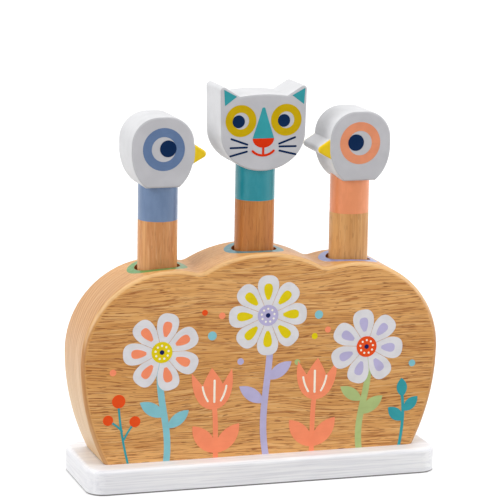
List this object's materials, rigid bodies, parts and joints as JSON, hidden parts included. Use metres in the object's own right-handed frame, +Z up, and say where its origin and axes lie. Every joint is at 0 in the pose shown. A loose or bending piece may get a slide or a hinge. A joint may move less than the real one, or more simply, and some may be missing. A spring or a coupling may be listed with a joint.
{
  "type": "pop up animal toy",
  "caption": "Wooden pop-up toy: round-topped block on a white base with animal-headed pegs standing on springs in its bores; pegs press down and lift out.",
  "frame": {"origin": "centre of the base plate's underside", "axes": "+X right along the base plate as seen from the printed front, +Y from the front face to the back, +Z up"},
  "size_m": [0.188, 0.058, 0.1998],
  "materials": {
    "white_paint": "satin white paint on wood",
    "block_wood": "clear satin varnish",
    "dowel_wood": "clear satin varnish",
    "head_paint": "satin white paint on wood",
    "spring_steel": "drawn wire, zinc plated",
    "screw_steel": "zinc plated"
  },
  "bodies": {
    "block": {"base_plate": "white_paint", "block": "block_wood", "base_screw_1": "screw_steel", "base_screw_2": "screw_steel", "base_screw_3": "screw_steel", "base_screw_4": "screw_steel"},
    "spring_left": {"spring_left": "spring_steel"},
    "spring_middle": {"spring_middle": "spring_steel"},
    "spring_right": {"spring_right": "spring_steel"},
    "peg_left": {"dowel_left": "dowel_wood", "bird_head_left": "head_paint"},
    "peg_middle": {"dowel_middle": "dowel_wood", "cat_head": "head_paint"},
    "peg_right": {"dowel_right": "dowel_wood", "bird_head_right": "head_paint"}
  },
  "joints": [
    {"name": "press_left", "type": "slide", "parent": "block", "child": "spring_left", "axis": [0, 0, 1], "range_m": [-0.028, 0], "stiffness_N_per_m": 150, "springref_m": 0.003, "deforming": ["spring_left"]},
    {"name": "press_middle", "type": "slide", "parent": "block", "child": "spring_middle", "axis": [0, 0, 1], "range_m": [-0.028, 0], "stiffness_N_per_m": 150, "springref_m": 0.003, "deforming": ["spring_middle"]},
    {"name": "press_right", "type": "slide", "parent": "block", "child": "spring_right", "axis": [0, 0, 1], "range_m": [-0.028, 0], "stiffness_N_per_m": 150, "springref_m": 0.003, "deforming": ["spring_right"]},
    {"name": "lift_left", "type": "slide", "parent": "spring_left", "child": "peg_left", "axis": [0, 0, 1], "range_m": [0, 0.058]},
    {"name": "lift_middle", "type": "slide", "parent": "spring_middle", "child": "peg_middle", "axis": [0, 0, 1], "range_m": [0, 0.058]},
    {"name": "lift_right", "type": "slide", "parent": "spring_right", "child": "peg_right", "axis": [0, 0, 1], "range_m": [0, 0.058]}
  ]
}
